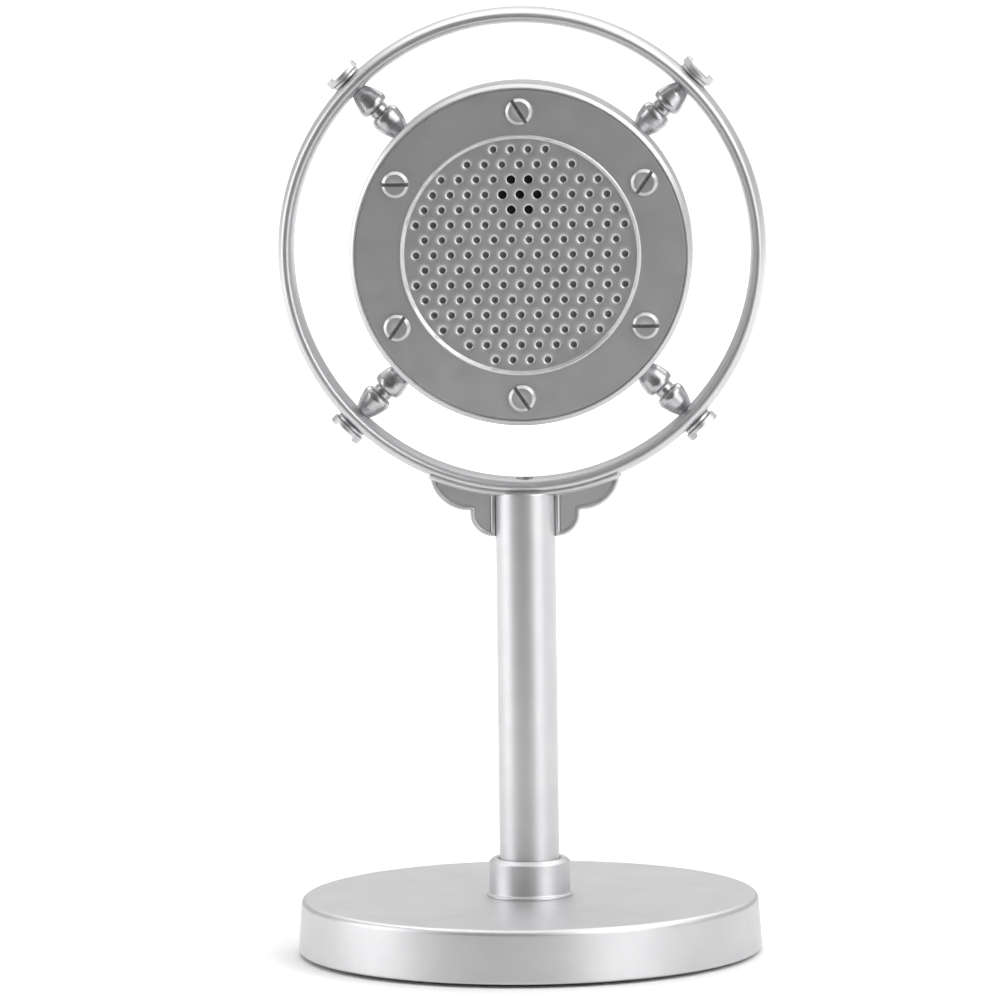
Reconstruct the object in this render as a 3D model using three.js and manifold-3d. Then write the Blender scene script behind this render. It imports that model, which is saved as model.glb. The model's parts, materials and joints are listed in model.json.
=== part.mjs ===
// A desktop microphone: a drum-shaped head held by four turned balusters in an oval-section hoop,
// on a scalloped saddle bracket, a tube pole and a round weighted base.
// Millimetres, +Z up, front towards -Y, origin at the centre of the foot's underside.
import * as THREE from "three";
import { mergeVertices } from "three/addons/utils/BufferGeometryUtils.js";
import Module from "manifold-3d";

const wasm = await Module();
wasm.setup();

// ---- Driving dimensions -------------------------------------------------------------------------
const GAP = 0.3; // between pieces that touch

const BASE_R = 58.4; // at the bottom edge
const BASE_TOP_R = 57.5;
const BASE_TOP = 14.3;
const BASE_LIFT = 0.9; // the shell's lower edge stands off the surface
const BASE_EDGE = 1.3; // rounding of the top edge
const BASE_WALL = 3.6;
const BASE_ROOF = 3.0;
const FOOT_IN = 48.0;
const FOOT_OUT = 53.2;
const FOOT_HIGH = 1.5;
const PLATE_THICK = 1.4;
const BOSS_PITCH_R = 44.0;
const BOSS_R = 3.4;
const WEIGHT_R = 39.8;
const WEIGHT_HOLE_R = 14.8;
const WEIGHT_GAP = 0.4;
const LEAD_SLOT = { half: 2.5, from: 5, to: 45 }; // in the weight, towards the jack

const JACK = { bore: 1.75, barrel: 3.0, nut: 4.7, half: 4.4, halfHigh: 3.2, inner: 42.3, outer: 53.0 };
const JACK_DEEP = 11.6; // how far the plug goes in
const JACK_FLAT = { y: 56.2, half: 7, halfHigh: 5 }; // milled into the base's side
const JACK_MOUTH_Y = 57.6;
const JACK_Z = 7.4;

const COLLAR_R = 10.2;
const COLLAR_FLARE = 0.7; // how far the collar's foot stands out
const COLLAR_TOP = 23.9;
const COLLAR_EDGE = 1.1; // bevels of the top edge
const COLLAR_BORE = 7.65;
const COLLAR_NUT_R = 13.0;
const SPIGOT_R = 8.9;
const SPIGOT_LOW = 8.3;
const WASHER_OUT_R = 10.4;

const POLE_R = 7.5;
const POLE_BORE = 6.3;
const POLE_LOW = 5.4;
const POLE_TOP = 116.3; // the front and back of its notched top
const PLUG_LOW = 102.5;
const SNAP_Z = 6.3;
const SNAP_HIGH = 0.65;
const SNAP_R = 9.3;
const SNAP_MOUTH = 1.5; // half the ring's opening
const SNAP_GROOVE = 0.5;

const RING_Z = 177.3; // height of the head's and the hoop's common centre
const RING_MID_R = 59.1;
const RING_HALF = 2.0; // half the section across
const RING_DEPTH = 12.0;
const RING_WALL = 0.8;
const RING_POWER = 2.4; // superellipse power of the section
const BAND_THICK = 0.9;
const BAND_DEPTH = 11.2;
const BAND_REACH = 23.9; // half the band's span across
const GUSSET_THICK = 3.0;
const SCALLOP_STEPS = 5;
const OUTER_SCALLOP = { x: 14.2, z: 121.75, r: 9.75 };
const INNER_SCALLOP = { x: 7.9, z: 111.35, r: 6.0 };

const HEAD_R = 42.75;
const HEAD_DEPTH = 26.0;
const BEZEL_THICK = 4.0;
const GRILLE_VIEW_R = 28.6; // the opening that the grille shows through
const LIP_WIDE = 1.6; // the raised lip round the opening, whose inner side slopes
const LIP_PROUD = 0.55;
const GRILLE_SUNK = 0.6; // below the face
const GRILLE_R = 31.0;
const GRILLE_THICK = 1.5;
const DIMPLE_PITCH = 4.34;
const DIMPLE_R = 1.95;
const DIMPLE_DEEP = 1.15;
const SOUND_HOLE_R = 1.1;
const FIELD_ROWS = [4, 7, 10, 11, 12, 13, 12, 13, 12, 13, 12, 11, 10, 7, 4]; // dimples in each row
const SOUND_ROW = 4; // rows above the middle where the sound holes centre
const FACE_SCREW_R = 35.8;
const FACE_SLOTS = [55, -58, 0, 55, -56, 0]; // each slot's turn, in degrees
const SHELL_WALL = 2.5;
const SHELL_STRAIGHT_Y = 2.5; // the casing's side is straight as far back as this
const SHELL_DRAFT = 1.3; // how much narrower the casing is at its back
const SHELL_EDGE = 3.0; // rounding of the back edge
const FELT_THICK = 1.0;
const RETAINER_IN_R = 29.4;
const CAPSULE_R = 4.85;
const BOARD = { half: 20, low: -18, high: 21, thick: 1.6 };
const BOARD_PEGS = [
  [-16, -14],
  [16, 10],
];

const SPOKE_ANGLES = [45, 135, 225, 315];
const WIRE_SPOKE = 3; // the spoke that carries the lead
const BALUSTER_END_R = 2.4;
const BALUSTER_BELLY_R = 3.75;
const BALUSTER_NECK_R = 2.2;
const STUD_R = 1.5;
const STUD_BORE = 0.95;
const STUD_LOW = 36.9; // the stud's inner end, from the head's centre
const STUD_HOLE_R = STUD_R + 0.25;
const HEAD_NUT = { r: 3.1, low: 37.3, high: 39.6 };
const NUT_R = 4.5;
const NUT_HIGH = 2.9; // from the hoop to the nut's top
const NUT_SLOT = { half: 2.7, deep: 0.85 };
const WASHER_HIGH = 0.55;

// Screws: radii of the shank, of the threaded hole, of the clearance hole and of the head.
const BASE_SCREW = { shank: 1.25, thread: 1.45, clear: 1.8, head: 2.8, high: 1.2, tip: 9.0 };
const FACE_SCREW = { shank: 1.5, thread: 1.75, clear: 1.8, head: 3.4, high: 1.35, tip: -3.0 };
const HOOP_SCREW = { shank: 1.3, thread: 1.6, clear: 1.55, head: 2.0, high: 2.0, access: 2.2 };
const PEG_SCREW = { shank: 1.0, thread: 1.3, clear: 1.5, head: 2.4, high: 1.0, tip: 6.0 };
const SLOT = { half: 0.45, deep: 0.55 };
const HEX = { r: 1.4, deep: 1.2 };

const LEAD_R = 0.6;
const LEAD_HOLE_R = 1.1;
const HOOP_SCREW_Y = -1.5;
const LEAD_HOLE_Y = 3.0;

// Facets round a turned piece, by its size.
const WIDE = 48;
const BROAD = 40;
const MIDDLING = 24;
const SMALL = 16;
const FINE = 12;
const TINY = 8;

// ---- Materials ----------------------------------------------------------------------------------
const surface = (color, roughness, metalness) =>
  new THREE.MeshStandardMaterial({ color, roughness, metalness });
const SATIN = surface(0xc2c3c7, 0.35, 0.9);
const POLISHED = surface(0xd4d5d8, 0.15, 1.0);
const STEEL = surface(0x9a9ca0, 0.35, 1.0);
const BRASS = surface(0xb5955a, 0.3, 1.0);
const RUBBER = surface(0x1c1c1e, 0.8, 0.0);
const FELT = surface(0x26262a, 0.95, 0.0);
const PLASTIC = surface(0x202124, 0.5, 0.0);
const SOLDER_MASK = surface(0x1f5a3a, 0.5, 0.0);

// ---- Shape helpers ------------------------------------------------------------------------------
const radians = THREE.MathUtils.degToRad;

// The closed surface of a geometry as a solid that can be cut and joined.
function solid(geometry) {
  const bare = geometry.index ? geometry.toNonIndexed() : geometry.clone();
  bare.deleteAttribute("normal");
  bare.deleteAttribute("uv");
  const merged = mergeVertices(bare, 1e-4);
  return new wasm.Manifold(
    new wasm.Mesh({
      numProp: 3,
      vertProperties: merged.attributes.position.array,
      triVerts: new Uint32Array(merged.index.array),
    }),
  );
}

function geometryOf(made) {
  const mesh = made.getMesh();
  const geometry = new THREE.BufferGeometry();
  geometry.setAttribute("position", new THREE.BufferAttribute(mesh.vertProperties, 3));
  geometry.setIndex(new THREE.BufferAttribute(mesh.triVerts, 1));
  geometry.computeVertexNormals();
  return geometry;
}

// A body with pieces joined on, then tools cut away.
function worked(body, joined, cut) {
  let made = solid(body);
  for (const piece of joined) made = made.add(solid(piece));
  for (const tool of cut) made = made.subtract(solid(tool));
  return geometryOf(made);
}

// An outline of [radius, height] points turned round the Y axis. It closes on itself or on the axis.
function turnedY(outline, segments) {
  const onAxis = outline[0][0] === 0 && outline.at(-1)[0] === 0;
  const closed = onAxis ? outline : [...outline, outline[0]];
  return new THREE.LatheGeometry(
    closed.map(([radius, height]) => new THREE.Vector2(radius, height)),
    segments,
  );
}

const turnedZ = (outline, segments) => turnedY(outline, segments).rotateX(Math.PI / 2);

// Outlines for turnedY and turnedZ run up the outside first, so that the faces point out.
const tube = (inner, outer, low, high) => [
  [outer, low],
  [outer, high],
  [inner, high],
  [inner, low],
];
const disc = (outer, low, high) => [
  [0, low],
  [outer, low],
  [outer, high],
  [0, high],
];

// Straight round rods, used as pins and as drills.
const rodZ = (radius, low, high, x, y, sides) =>
  turnedZ(disc(radius, low, high), sides).translate(x, y, 0);
const rodY = (radius, low, high, x, z, sides) =>
  turnedY(disc(radius, low, high), sides).translate(x, 0, z);

function block(x, y, z) {
  return new THREE.BoxGeometry(x[1] - x[0], y[1] - y[0], z[1] - z[0]).translate(
    (x[0] + x[1]) / 2,
    (y[0] + y[1]) / 2,
    (z[0] + z[1]) / 2,
  );
}

// A flat plate drawn in X and Z, centred on Y = 0.
function plateY(shape, thickness) {
  const settings = { depth: thickness, bevelEnabled: false, curveSegments: FINE };
  return new THREE.ExtrudeGeometry(shape, settings)
    .rotateX(Math.PI / 2)
    .translate(0, thickness / 2, 0);
}

// Points [radius, height] round a superellipse section.
function ovalSection(middle, half, halfDepth, count) {
  const bend = (value) => Math.sign(value) * Math.abs(value) ** (2 / RING_POWER);
  return Array.from({ length: count }, (_, i) => {
    const turn = (2 * Math.PI * i) / count;
    return [middle + half * bend(Math.cos(turn)), halfDepth * bend(Math.sin(turn))];
  });
}

// Points [radius, height] on an arc, from one angle to another in degrees.
function arc(cx, cy, radius, from, to, steps) {
  return Array.from({ length: steps + 1 }, (_, i) => {
    const turn = radians(from + ((to - from) * i) / steps);
    return [cx + radius * Math.cos(turn), cy + radius * Math.sin(turn)];
  });
}

// A route through chosen points, close together in the bends and far apart on the straights.
class Route extends THREE.Curve {
  constructor(points) {
    super();
    this.points = points;
  }
  getPoint(t, target = new THREE.Vector3()) {
    const place = t * (this.points.length - 1);
    const before = Math.min(Math.floor(place + 1e-9), this.points.length - 2);
    return target.lerpVectors(this.points[before], this.points[before + 1], place - before);
  }
  getPointAt(u, target) {
    return this.getPoint(u, target);
  }
  getTangentAt(u, target = new THREE.Vector3()) {
    const last = this.points.length - 1;
    const at = Math.round(u * last);
    const from = this.points[Math.max(at - 1, 0)];
    return target.subVectors(this.points[Math.min(at + 1, last)], from).normalize();
  }
}

function leadAlong(points) {
  const section = new THREE.Shape(
    arc(0, 0, LEAD_R, 0, 300, 5).map(([x, y]) => new THREE.Vector2(x, y)),
  );
  const steps = points.length - 1;
  return new THREE.ExtrudeGeometry(section, { steps, extrudePath: new Route(points) });
}

function place(parent, name, geometry, material) {
  const mesh = new THREE.Mesh(geometry, material);
  mesh.name = name;
  parent.add(mesh);
}

// ---- Base ---------------------------------------------------------------------------------------
const INTO = 0.5; // how far one joined solid goes into another
const PAST = 60; // beyond the outside of everything on the base
const ROOF_LOW = BASE_TOP - BASE_ROOF;
const PLATE_LOW = FOOT_HIGH + GAP;
const PLATE_TOP = PLATE_LOW + PLATE_THICK;
const INNER_R = BASE_R - BASE_WALL;
const BOSS_ANGLES = [45, 135, 225, 315];

function bossPlaces() {
  return BOSS_ANGLES.map((angle) => {
    const turn = radians(angle);
    return [BOSS_PITCH_R * Math.cos(turn), BOSS_PITCH_R * Math.sin(turn)];
  });
}

function baseShell() {
  const shell = turnedZ(
    [
      [BASE_R, BASE_LIFT],
      ...arc(BASE_TOP_R - BASE_EDGE, BASE_TOP - BASE_EDGE, BASE_EDGE, 0, 90, 2),
      [SPIGOT_R + GAP, BASE_TOP],
      [SPIGOT_R + GAP, ROOF_LOW],
      [INNER_R - 0.4, ROOF_LOW],
      [INNER_R, BASE_LIFT],
    ],
    WIDE,
  );
  const bosses = bossPlaces().map(([x, y]) => rodZ(BOSS_R, PLATE_TOP + GAP, ROOF_LOW + INTO, x, y, TINY));
  const drills = bossPlaces().map(([x, y]) => rodZ(BASE_SCREW.thread, 0, ROOF_LOW - 1, x, y, TINY));
  const { y, half, halfHigh } = JACK_FLAT;
  const flat = block([-half, half], [y, PAST], [JACK_Z - halfHigh, JACK_Z + halfHigh]);
  const socketHole = rodY(JACK.barrel + GAP, JACK.outer - 3, PAST, 0, JACK_Z, FINE);
  return worked(shell, bosses, [...drills, flat, socketHole]);
}

function collar() {
  return turnedZ(
    [
      [SPIGOT_R, SPIGOT_LOW],
      [SPIGOT_R, BASE_TOP + GAP],
      [COLLAR_R + COLLAR_FLARE, BASE_TOP + GAP],
      [COLLAR_R + COLLAR_FLARE, BASE_TOP + 0.6],
      [COLLAR_R, BASE_TOP + 1.1],
      [COLLAR_R, COLLAR_TOP - COLLAR_EDGE],
      [COLLAR_R - COLLAR_EDGE, COLLAR_TOP],
      [COLLAR_BORE + COLLAR_EDGE / 2, COLLAR_TOP],
      [COLLAR_BORE, COLLAR_TOP - COLLAR_EDGE],
      [COLLAR_BORE, SPIGOT_LOW],
    ],
    MIDDLING,
  );
}

const collarNut = () =>
  turnedZ(tube(SPIGOT_R + GAP, COLLAR_NUT_R, SPIGOT_LOW + 0.5, ROOF_LOW - GAP), SMALL);

const waveWasher = () =>
  turnedZ(tube(COLLAR_BORE + GAP, WASHER_OUT_R, SNAP_Z + SNAP_HIGH + GAP, SPIGOT_LOW - GAP), SMALL);

function baseWeight() {
  const low = PLATE_TOP + WEIGHT_GAP;
  const ring = turnedZ(tube(WEIGHT_HOLE_R, WEIGHT_R, low, ROOF_LOW - WEIGHT_GAP), BROAD);
  const { half, from, to } = LEAD_SLOT;
  return worked(ring, [], [block([-half, half], [from, to], [0, BASE_TOP])]);
}

function bottomPlate() {
  const drills = bossPlaces().map(([x, y]) => rodZ(BASE_SCREW.clear, 0, BASE_TOP, x, y, TINY));
  return worked(turnedZ(disc(FOOT_OUT + 0.2, PLATE_LOW, PLATE_TOP), BROAD), [], drills);
}

function bottomScrew() {
  const { shank, head, high, tip } = BASE_SCREW;
  const low = PLATE_LOW - high;
  const seat = PLATE_LOW - 0.2;
  const screw = turnedZ(
    [
      [0, low],
      [head - 0.4, low],
      [head, low + 0.5],
      [head, seat],
      [shank, seat],
      [shank, tip],
      [0, tip],
    ],
    TINY,
  );
  return worked(screw, [], [block([-head, head], [-SLOT.half, SLOT.half], [0, low + SLOT.deep])]);
}

function jackSocket() {
  const { bore, barrel, half, halfHigh, inner, outer } = JACK;
  const body = block([-half, half], [inner, outer], [JACK_Z - halfHigh, JACK_Z + halfHigh]);
  const neck = rodY(barrel, outer - 1, JACK_MOUTH_Y, 0, JACK_Z, FINE);
  return worked(body, [neck], [rodY(bore, JACK_MOUTH_Y - JACK_DEEP, PAST, 0, JACK_Z, FINE)]);
}

const jackNut = () =>
  turnedY(tube(JACK.barrel + GAP, JACK.nut, JACK_FLAT.y + GAP, JACK_MOUTH_Y), FINE).translate(0, 0, JACK_Z);

function snapRing() {
  const inner = POLE_R - SNAP_GROOVE + 0.15;
  const ring = turnedZ(tube(inner, SNAP_R, SNAP_Z, SNAP_Z + SNAP_HIGH), MIDDLING);
  return worked(ring, [], [block([-SNAP_MOUTH, SNAP_MOUTH], [0, SNAP_R + 1], [0, BASE_TOP])]);
}

// The lower lead: from the back of the jack, through the weight's slot, under the pole and up into it.
function baseLead() {
  return leadAlong(
    [
      [0, 42.0, JACK_Z],
      [0, 36, JACK_Z],
      [0, 20, 7.0],
      [0, 12, 5.0],
      [0, 9, 4.35],
      [0, 2.2, 4.3],
      [0, 1.2, 4.6],
      [0, 0.3, 5.5],
      [0, 0, 6.8],
      [0, 0, 14.0],
    ].map((point) => new THREE.Vector3(...point)),
  );
}

function makeBase() {
  const base = new THREE.Group();
  place(base, "base_shell", baseShell(), SATIN);
  place(base, "collar", collar(), SATIN);
  place(base, "collar_nut", collarNut(), STEEL);
  place(base, "wave_washer", waveWasher(), STEEL);
  place(base, "base_weight", baseWeight(), STEEL);
  place(base, "bottom_plate", bottomPlate(), STEEL);
  place(base, "foot_ring", turnedZ(tube(FOOT_IN, FOOT_OUT, 0, FOOT_HIGH), BROAD), RUBBER);
  bossPlaces().forEach(([x, y], i) => {
    place(base, `bottom_screw_${i + 1}`, bottomScrew().translate(x, y, 0), STEEL);
  });
  place(base, "jack_socket", jackSocket(), PLASTIC);
  place(base, "jack_nut", jackNut(), POLISHED);
  place(base, "base_lead", baseLead(), RUBBER);
  return base;
}

// ---- Pole, saddle and hoop ----------------------------------------------------------------------
// Radius of the saddle band's inner face at a depth, where it follows the hoop's section.
function bandInner(depth) {
  const share = Math.abs(depth) / (RING_DEPTH / 2 + GAP);
  return RING_MID_R + (RING_HALF + GAP) * (1 - share ** RING_POWER) ** (1 / RING_POWER);
}

// Points [radius, depth] across the band, at an offset from its inner face.
function bandLine(offset, reach) {
  return [-1, -0.7, -0.35, 0, 0.35, 0.7, 1].map((share) => {
    const depth = (share * BAND_DEPTH) / 2;
    return [bandInner(depth) + offset, share * reach];
  });
}

// The pole's top is notched to the underside of the band.
function pole() {
  const grooveLow = SNAP_Z - 0.2;
  const grooveTop = SNAP_Z + SNAP_HIGH + 0.15;
  const tubeBody = turnedZ(
    [
      [POLE_R, POLE_LOW],
      [POLE_R, grooveLow],
      [POLE_R - SNAP_GROOVE, grooveLow],
      [POLE_R - SNAP_GROOVE, grooveTop],
      [POLE_R, grooveTop],
      [POLE_R, POLE_TOP],
      [POLE_BORE, POLE_TOP],
      [POLE_BORE, POLE_LOW],
    ],
    MIDDLING,
  );
  const notchReach = BAND_DEPTH / 2 + GAP;
  const notch = turnedY(
    [[0, -notchReach], ...bandLine(BAND_THICK + GAP, notchReach), [0, notchReach]],
    WIDE,
  ).translate(0, 0, RING_Z);
  return worked(tubeBody, [], [notch]);
}

const PLUG_TOP = RING_Z - bandInner(0) - BAND_THICK - GAP;

function polePlug() {
  const drills = [
    rodZ(HOOP_SCREW.thread, PLUG_LOW - 1, POLE_TOP, 0, HOOP_SCREW_Y, TINY),
    rodZ(LEAD_HOLE_R, PLUG_LOW - 1, POLE_TOP, 0, LEAD_HOLE_Y, TINY),
  ];
  return worked(turnedZ(disc(POLE_BORE - GAP, PLUG_LOW, PLUG_TOP), SMALL), [], drills);
}

// One gusset's outline: down the outer scallop, down the inner one, up beside the pole.
function gussetShape(side) {
  const outer = OUTER_SCALLOP;
  const inner = INNER_SCALLOP;
  const tipTurn = -9; // where the outer scallop starts
  const cuspTurn = 6; // where the inner one does
  const besidePole = POLE_R + GAP;
  const bandAt = (x) => RING_Z - Math.sqrt((bandInner(0) + BAND_THICK / 2) ** 2 - x ** 2);
  const top = [0, 1, 2, 3, 4].map((i) => {
    const x = besidePole + ((BAND_REACH - 1 - besidePole) * i) / 4;
    return [x, bandAt(x)];
  });
  const outline = [
    ...top,
    ...arc(outer.x, outer.z, outer.r, tipTurn, -92, SCALLOP_STEPS),
    ...arc(inner.x, inner.z, inner.r, cuspTurn, -90, SCALLOP_STEPS),
    [besidePole, inner.z - inner.r],
  ];
  return new THREE.Shape(outline.map(([x, z]) => new THREE.Vector2(side * x, z)));
}

function saddleBracket() {
  const hug = BAND_DEPTH / 2;
  const strip = [...bandLine(BAND_THICK, hug), ...bandLine(0, hug).toReversed()];
  const hoopBand = turnedY(strip, 4 * WIDE).translate(0, 0, RING_Z);
  const underHoop = block([-BAND_REACH, BAND_REACH], [-BAND_DEPTH, BAND_DEPTH], [PLUG_LOW, RING_Z - HEAD_R]);
  const band = geometryOf(solid(hoopBand).intersect(solid(underHoop)));
  const gussets = [1, -1].map((side) => plateY(gussetShape(side), GUSSET_THICK));
  const holes = [
    rodZ(HOOP_SCREW.clear, PLUG_LOW, RING_Z, 0, HOOP_SCREW_Y, TINY),
    rodZ(LEAD_HOLE_R, PLUG_LOW, RING_Z, 0, LEAD_HOLE_Y, TINY),
  ];
  return worked(band, gussets, holes);
}

// The hoop is a bent oval tube, round the Y axis and centred on its own middle.
function ringHoop() {
  const outside = turnedY(ovalSection(RING_MID_R, RING_HALF, RING_DEPTH / 2, 12), BROAD);
  const hollow = turnedY(
    ovalSection(RING_MID_R, RING_HALF - RING_WALL, RING_DEPTH / 2 - RING_WALL, 6),
    BROAD,
  );
  const studHoles = SPOKE_ANGLES.map((angle) =>
    rodZ(STUD_HOLE_R, HEAD_R, RING_MID_R + 2 * RING_HALF, 0, 0, TINY).rotateY(radians(90 - angle)),
  );
  const under = -RING_MID_R - 2 * RING_HALF;
  const screwSeat = -RING_MID_R - (RING_HALF - RING_WALL) + 0.25;
  const bottomHoles = [
    rodZ(HOOP_SCREW.clear, under, -RING_MID_R, 0, HOOP_SCREW_Y, TINY),
    rodZ(HOOP_SCREW.access, screwSeat, -HEAD_R, 0, HOOP_SCREW_Y, FINE),
    rodZ(LEAD_HOLE_R, under, -RING_MID_R, 0, LEAD_HOLE_Y, TINY),
  ];
  return worked(outside, [], [hollow, ...studHoles, ...bottomHoles]);
}

function ringScrew() {
  const { shank, head, high } = HOOP_SCREW;
  const headLow = RING_Z - RING_MID_R - 0.7;
  const headTop = headLow + high;
  const tip = PLUG_LOW + 2;
  const screw = turnedZ(
    [
      [0, tip],
      [shank, tip],
      [shank, headLow],
      [head, headLow],
      [head, headTop - 0.4],
      [head - 0.4, headTop],
      [0, headTop],
    ],
    FINE,
  );
  const socket = rodZ(HEX.r, headTop - HEX.deep, headTop + 1, 0, 0, 6);
  return worked(screw, [], [socket]).translate(0, HOOP_SCREW_Y, 0);
}

// The lead leaves the board, goes down the hollow stud, round in the hoop and down the pole.
function upperLead() {
  const spoke = SPOKE_ANGLES[WIRE_SPOKE];
  const round = (angle, radius, y) =>
    new THREE.Vector3(
      radius * Math.cos(radians(angle)),
      y,
      RING_Z + radius * Math.sin(radians(angle)),
    );
  const bend = 1.1;
  const swing = THREE.MathUtils.radToDeg(bend / RING_MID_R);
  const turnIn = [0, 30, 60, 90].map((turn) =>
    round(
      spoke - swing * (1 - Math.cos(radians(turn))),
      RING_MID_R - bend + bend * Math.sin(radians(turn)),
      0,
    ),
  );
  const steps = 10;
  const along = Array.from({ length: steps }, (_, i) => {
    const share = (i + 1) / steps;
    const eased = share * share * (3 - 2 * share);
    return round(spoke - swing + (270 + swing - spoke + swing) * share, RING_MID_R, LEAD_HOLE_Y * eased);
  });
  const last = along.at(-1);
  const turnDown = [40, 90].map(
    (turn) =>
      new THREE.Vector3(
        last.x * (1 - Math.sin(radians(turn))),
        LEAD_HOLE_Y,
        last.z - bend * (1 - Math.cos(radians(turn))),
      ),
  );
  return leadAlong([
    new THREE.Vector3(10, -1, RING_Z - 12.5),
    new THREE.Vector3(16, -1, RING_Z - 16.5),
    new THREE.Vector3(21, -0.6, RING_Z - 21),
    round(spoke, 34.5, 0),
    round(spoke, 38, 0),
    ...turnIn,
    ...along,
    ...turnDown,
    new THREE.Vector3(0, LEAD_HOLE_Y, PLUG_LOW - 0.5),
    new THREE.Vector3(0, 0.8 * LEAD_HOLE_Y, PLUG_LOW - 5),
    new THREE.Vector3(0, 0.2 * LEAD_HOLE_Y, PLUG_LOW - 11),
    new THREE.Vector3(0, 0, PLUG_LOW - 15),
    new THREE.Vector3(0, 0, 14.3),
  ]);
}

function makeStand() {
  const stand = new THREE.Group();
  place(stand, "pole", pole(), SATIN);
  place(stand, "snap_ring", snapRing(), STEEL);
  place(stand, "pole_plug", polePlug(), BRASS);
  place(stand, "saddle_bracket", saddleBracket(), SATIN);
  place(stand, "ring_hoop", ringHoop().translate(0, 0, RING_Z), SATIN);
  place(stand, "ring_screw", ringScrew(), STEEL);
  place(stand, "upper_lead", upperLead(), RUBBER);
  return stand;
}

// ---- Head: everything here turns about the Y axis, round the head's own centre ------------------
const FACE_Y = -HEAD_DEPTH / 2;
const BEZEL_BACK = FACE_Y + BEZEL_THICK;
const GRILLE_FACE = FACE_Y + GRILLE_SUNK;
const GRILLE_BACK = GRILLE_FACE + GRILLE_THICK;
const FELT_BACK = GRILLE_BACK + GAP + FELT_THICK;
const SHELL_BACK = HEAD_DEPTH / 2;
const SHELL_FLOOR = SHELL_BACK - SHELL_WALL;
const BORE_R = GRILLE_R + GAP;
const SOUND_Z = SOUND_ROW * DIMPLE_PITCH * Math.sin(Math.PI / 3);

function facePlaces() {
  return FACE_SLOTS.map((slot, i) => {
    const turn = radians(30 + 60 * i);
    return { x: FACE_SCREW_R * Math.cos(turn), z: FACE_SCREW_R * Math.sin(turn), slot };
  });
}

function frontBezel() {
  const bezel = turnedY(
    [
      [GRILLE_VIEW_R, GRILLE_FACE - GAP],
      [GRILLE_VIEW_R + 0.4 * LIP_WIDE, FACE_Y - 0.6 * LIP_PROUD],
      [GRILLE_VIEW_R + 0.7 * LIP_WIDE, FACE_Y - LIP_PROUD],
      [GRILLE_VIEW_R + 0.9 * LIP_WIDE, FACE_Y - LIP_PROUD],
      [GRILLE_VIEW_R + LIP_WIDE, FACE_Y],
      [HEAD_R - 1.6, FACE_Y],
      [HEAD_R - 1.4, FACE_Y - 0.15],
      [HEAD_R - 0.5, FACE_Y + 0.25],
      [HEAD_R, FACE_Y + 1.4],
      [HEAD_R, BEZEL_BACK],
      [HEAD_R - SHELL_WALL - GAP, BEZEL_BACK],
      [HEAD_R - SHELL_WALL - GAP, BEZEL_BACK + 1.5],
      [HEAD_R - SHELL_WALL - 1.4, BEZEL_BACK + 1.5],
      [HEAD_R - SHELL_WALL - 1.4, BEZEL_BACK],
      [BORE_R + 1.5, BEZEL_BACK],
      [BORE_R + 1.5, BEZEL_BACK + 1],
      [BORE_R, BEZEL_BACK + 1],
      [BORE_R, GRILLE_FACE - GAP],
    ],
    BROAD,
  );
  const drills = facePlaces().map(({ x, z }) => rodY(FACE_SCREW.clear, -HEAD_DEPTH, 0, x, z, TINY));
  return worked(bezel, [], drills);
}

function grille() {
  const plate = turnedY(disc(GRILLE_R, GRILLE_FACE, GRILLE_BACK), BROAD);
  const countersink = turnedY(
    [
      [0, -0.05],
      [DIMPLE_R, -0.05],
      [0, DIMPLE_DEEP],
    ],
    6,
  );
  const middle = (FIELD_ROWS.length - 1) / 2;
  const rise = DIMPLE_PITCH * Math.sin(Math.PI / 3);
  const cuts = [];
  FIELD_ROWS.forEach((count, row) => {
    for (let i = 0; i < count; i += 1) {
      const x = (i - (count - 1) / 2) * DIMPLE_PITCH;
      const z = (middle - row) * rise;
      cuts.push(countersink.clone().translate(x, GRILLE_FACE, z));
      if (Math.hypot(x, z - SOUND_Z) < 1.1 * DIMPLE_PITCH) {
        cuts.push(rodY(SOUND_HOLE_R, -HEAD_DEPTH, 0, x, z, 6));
      }
    }
  });
  return worked(plate, [], cuts);
}

function faceScrew(slot) {
  const { shank, head, high, tip } = FACE_SCREW;
  const top = FACE_Y - high;
  const seat = FACE_Y - 0.1;
  const screw = turnedY(
    [
      [0, top],
      [head - 1.1, top],
      [head - 0.3, top + 0.45],
      [head, seat],
      [shank, seat],
      [shank, tip],
      [0, tip],
    ],
    FINE,
  );
  const cutter = block([-5, 5], [top - 1, top + SLOT.deep], [-SLOT.half, SLOT.half]);
  return worked(screw, [], [cutter.rotateY(-radians(slot))]);
}

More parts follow.
